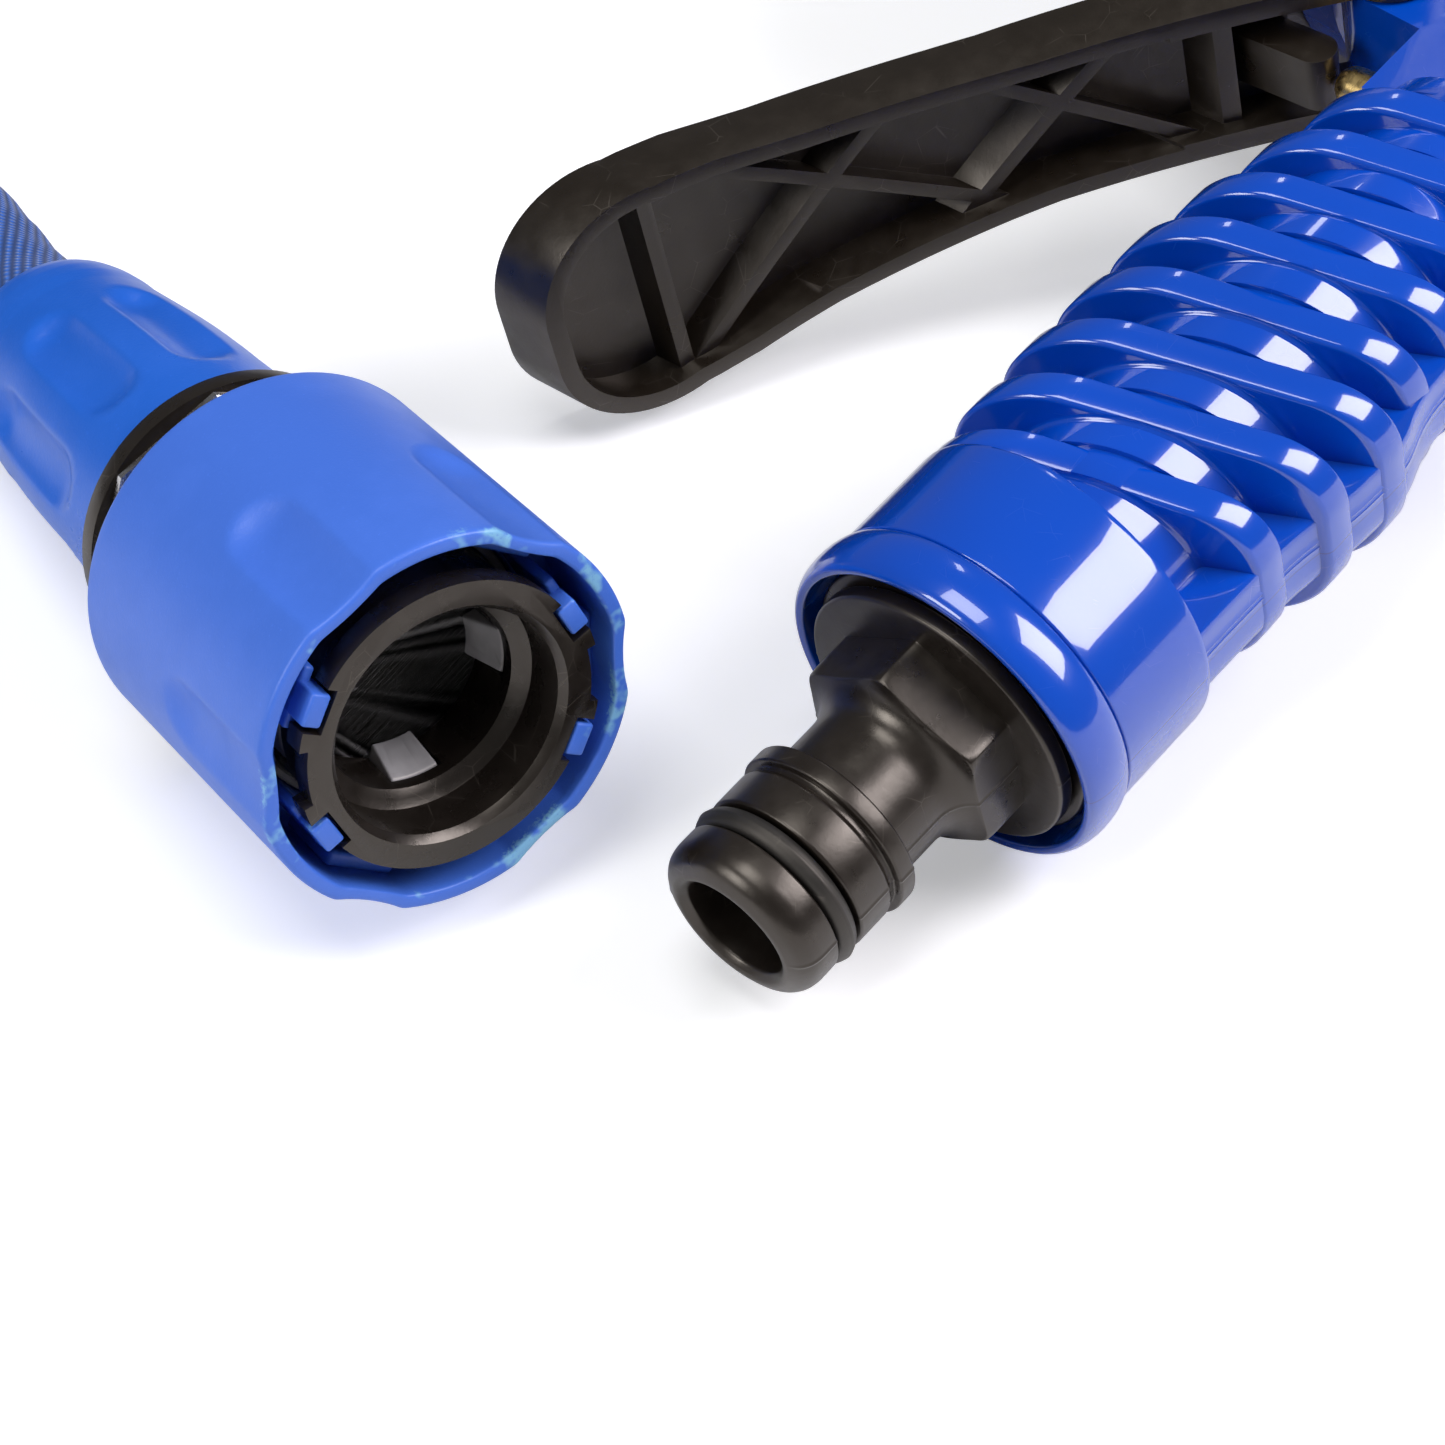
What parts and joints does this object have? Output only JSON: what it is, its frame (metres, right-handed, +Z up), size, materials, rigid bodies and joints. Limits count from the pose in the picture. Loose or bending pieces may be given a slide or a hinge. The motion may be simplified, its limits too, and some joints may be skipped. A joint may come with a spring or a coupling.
{
  "type": "garden hose set",
  "caption": "Woven expandable garden hose, coiled, with a quick coupler at each end, and a pistol spray gun whose click nipple plugs into a coupler.",
  "frame": {"origin": "on the floor, under the middle of the near coupler and the spray gun", "axes": "+X from the spray gun's inlet to its head, +Y towards the trigger and the hose, +Z up"},
  "size_m": [0.2153, 0.3933, 0.0712],
  "materials": {
    "blue_plastic": "glossy moulded plastic",
    "sleeve_blue": "fine-grained satin plastic",
    "black_plastic": "satin moulded plastic",
    "grey_plastic": "satin moulded plastic",
    "rubber": "matte rubber",
    "steel": "bright steel",
    "brass": "turned brass",
    "woven_jacket": "woven polyester twill"
  },
  "bodies": {
    "hose_line": {"coupler_body": "black_plastic", "locking_claws": "grey_plastic", "sleeve_spring": "steel", "hose_collet": "grey_plastic", "hose_lining": "rubber", "hose_cuff": "woven_jacket", "hose_lead": "woven_jacket", "hose_coil": "woven_jacket", "hose_end": "woven_jacket", "far_coupler_body": "black_plastic", "far_locking_claws": "grey_plastic", "far_sleeve_spring": "steel", "far_hose_collet": "grey_plastic", "far_hose_lining": "rubber", "far_hose_cuff": "woven_jacket"},
    "sleeve": {"release_sleeve": "sleeve_blue"},
    "nut": {"hose_nut": "blue_plastic"},
    "far_sleeve": {"far_release_sleeve": "sleeve_blue"},
    "far_nut": {"far_hose_nut": "blue_plastic"},
    "gun": {"gun_body": "blue_plastic", "click_nipple": "black_plastic", "nipple_o_ring": "rubber", "inlet_washer": "rubber", "trigger_pin": "steel", "valve_seat": "rubber", "stem_seals": "rubber", "valve_spring": "steel", "valve_plug": "black_plastic", "dial_screw": "steel", "dial_seal": "rubber", "port_seal": "rubber", "port_spring": "steel", "detent_ball": "steel", "detent_spring": "steel"},
    "lever": {"trigger": "black_plastic"},
    "stem": {"valve_stem": "brass"},
    "dial": {"spray_dial": "black_plastic", "dial_face": "blue_plastic"}
  },
  "joints": [
    {"name": "sleeve_pull", "type": "slide", "parent": "hose_line", "child": "sleeve", "axis": [0.2551, 0.9519, -0.1697], "range_m": [0, 0.0045], "stiffness_N_per_m": 600, "springref_m": -0.004, "deforming": ["sleeve_spring"]},
    {"name": "nut_turn", "type": "hinge", "parent": "hose_line", "child": "nut", "pos_m": [-0.07058, 0.03404, 0.01406], "axis": [-0.2551, -0.9519, 0.1697], "range_deg": [0, 180]},
    {"name": "far_sleeve_pull", "type": "slide", "parent": "hose_line", "child": "far_sleeve", "axis": [0, -0.9855, -0.1697], "range_m": [0, 0.0045], "stiffness_N_per_m": 600, "springref_m": -0.004, "deforming": ["far_sleeve_spring"]},
    {"name": "far_nut_turn", "type": "hinge", "parent": "hose_line", "child": "far_nut", "pos_m": [-0.05, 0.2443, 0.04576], "axis": [0, 0.9855, 0.1697], "range_deg": [0, 180]},
    {"name": "gun_lift", "type": "slide", "parent": "hose_line", "child": "gun", "axis": [0, 0, 1], "range_m": [0, 0.1]},
    {"name": "trigger_squeeze", "type": "hinge", "parent": "gun", "child": "lever", "pos_m": [0.03727, -0.02087, 0.03122], "axis": [-0.1876, 0.0872, 0.9784], "range_deg": [0, 25], "stiffness_Nm_per_rad": 1.2, "springref_deg": -5.73},
    {"name": "valve_travel", "type": "slide", "parent": "gun", "child": "stem", "axis": [-0.0164, -0.9962, 0.0856], "range_m": [0, 0.0046], "deforming": ["valve_spring"]},
    {"name": "dial_turn", "type": "hinge", "parent": "gun", "child": "dial", "pos_m": [0.06277, -0.01087, 0.03522], "axis": [0.1529, 0.9865, -0.0586], "continuous": true}
  ],
  "couplings": [
    {"joint": "valve_travel", "follows": "trigger_squeeze", "m_per_rad": 0.0103}
  ]
}
